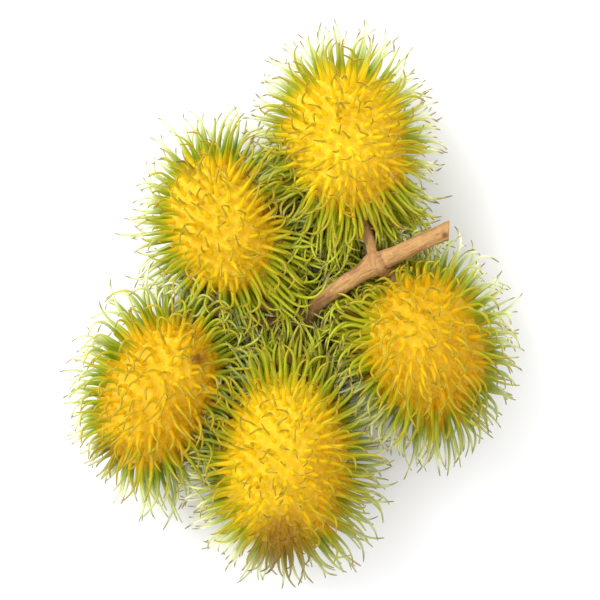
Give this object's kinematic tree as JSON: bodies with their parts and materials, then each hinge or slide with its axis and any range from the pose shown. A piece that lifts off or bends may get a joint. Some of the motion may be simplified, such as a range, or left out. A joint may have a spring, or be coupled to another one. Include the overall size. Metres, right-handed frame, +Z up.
{
  "type": "rambutan bunch",
  "caption": "Picked bunch of ripe yellow rambutans with green-tipped soft spines, joined on one woody twig and lying flat on a table.",
  "frame": {"origin": "on the table, under the middle of the bunch", "axes": "+Z up from the table, +Y along the bunch's length towards the topmost fruit, +X towards the twig's cut end"},
  "size_m": [0.1488, 0.1779, 0.0589],
  "materials": {
    "fruit": "soft satin rind, yellow with green spines that fade to grey-brown tips",
    "bark": "dry matt bark with a pale cut end"
  },
  "bodies": {
    "root": {"fruit_1": "fruit", "fruit_2": "fruit", "fruit_3": "fruit", "fruit_4": "fruit", "fruit_5": "fruit", "twig": "bark"}
  },
  "joints": []
}
